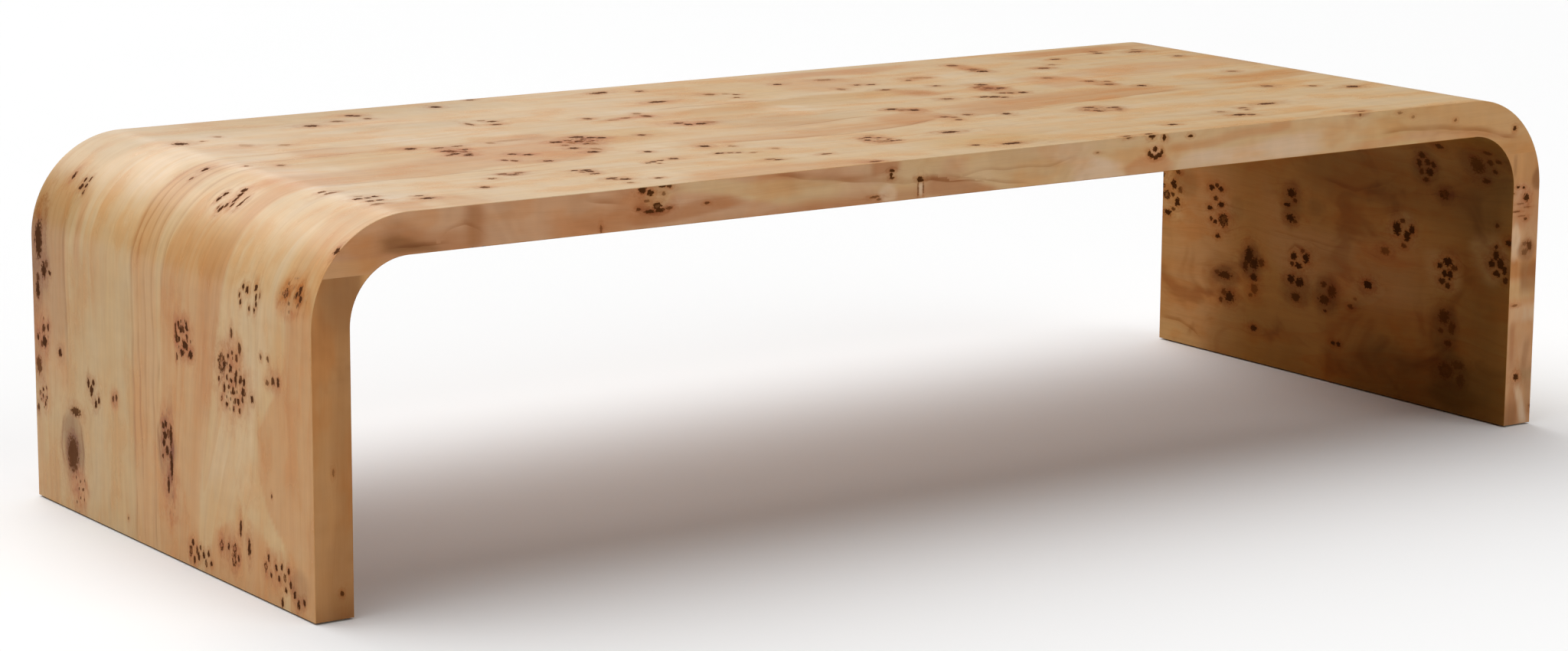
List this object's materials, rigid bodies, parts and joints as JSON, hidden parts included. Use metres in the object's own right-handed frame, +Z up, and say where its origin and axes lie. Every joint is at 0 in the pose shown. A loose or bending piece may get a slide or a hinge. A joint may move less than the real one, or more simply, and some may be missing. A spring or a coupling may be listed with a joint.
{
  "type": "curved coffee table",
  "caption": "Low waterfall coffee table: a flat top that turns down through round bends into slab legs, veneered in pale burl.",
  "frame": {"origin": "centre of the footprint, on the floor", "axes": "+X along the length with the left leg at -X, +Y towards the back, +Z up"},
  "size_m": [1.65, 0.64, 0.4],
  "materials": {
    "outer_veneer": "satin lacquer over pale poplar burl, grain along the length",
    "inner_veneer": "satin lacquer over poplar burl, grain across the depth",
    "edge_veneer": "satin lacquer over poplar veneer strips",
    "board": "raw fibreboard",
    "frame_timber": "planed poplar",
    "bent_plywood": "bent poplar plywood, raw",
    "dowel_beech": "fluted beech, raw",
    "felt": "dense dark wool felt"
  },
  "bodies": {
    "root": {"outer_front_leaf": "outer_veneer", "outer_back_leaf": "outer_veneer", "inner_left_leaf": "inner_veneer", "inner_right_leaf": "inner_veneer", "underside_leaf_1": "inner_veneer", "underside_leaf_2": "inner_veneer", "underside_leaf_3": "inner_veneer", "underside_leaf_4": "inner_veneer", "front_top_edge_strip": "edge_veneer", "front_left_edge_strip": "edge_veneer", "front_right_edge_strip": "edge_veneer", "back_top_edge_strip": "edge_veneer", "back_left_edge_strip": "edge_veneer", "back_right_edge_strip": "edge_veneer", "top_upper_board": "board", "top_lower_board": "board", "left_leg_outer_board": "board", "left_leg_inner_board": "board", "right_leg_outer_board": "board", "right_leg_inner_board": "board", "top_front_rail": "frame_timber", "top_back_rail": "frame_timber", "top_left_end_rail": "frame_timber", "top_right_end_rail": "frame_timber", "top_cross_rib_1": "frame_timber", "top_cross_rib_2": "frame_timber", "top_cross_rib_3": "frame_timber", "top_cross_rib_4": "frame_timber", "left_leg_front_stile": "frame_timber", "left_leg_middle_stile": "frame_timber", "left_leg_back_stile": "frame_timber", "left_leg_head_rail": "frame_timber", "left_leg_foot_rail": "frame_timber", "right_leg_front_stile": "frame_timber", "right_leg_middle_stile": "frame_timber", "right_leg_back_stile": "frame_timber", "right_leg_head_rail": "frame_timber", "right_leg_foot_rail": "frame_timber", "left_bend_outer_skin": "bent_plywood", "left_bend_inner_skin": "bent_plywood", "left_bend_front_rib": "bent_plywood", "left_bend_middle_rib": "bent_plywood", "left_bend_back_rib": "bent_plywood", "right_bend_outer_skin": "bent_plywood", "right_bend_inner_skin": "bent_plywood", "right_bend_front_rib": "bent_plywood", "right_bend_middle_rib": "bent_plywood", "right_bend_back_rib": "bent_plywood", "left_top_dowels": "dowel_beech", "left_leg_dowels": "dowel_beech", "right_top_dowels": "dowel_beech", "right_leg_dowels": "dowel_beech", "left_felt_strip": "felt", "right_felt_strip": "felt"}
  },
  "joints": []
}
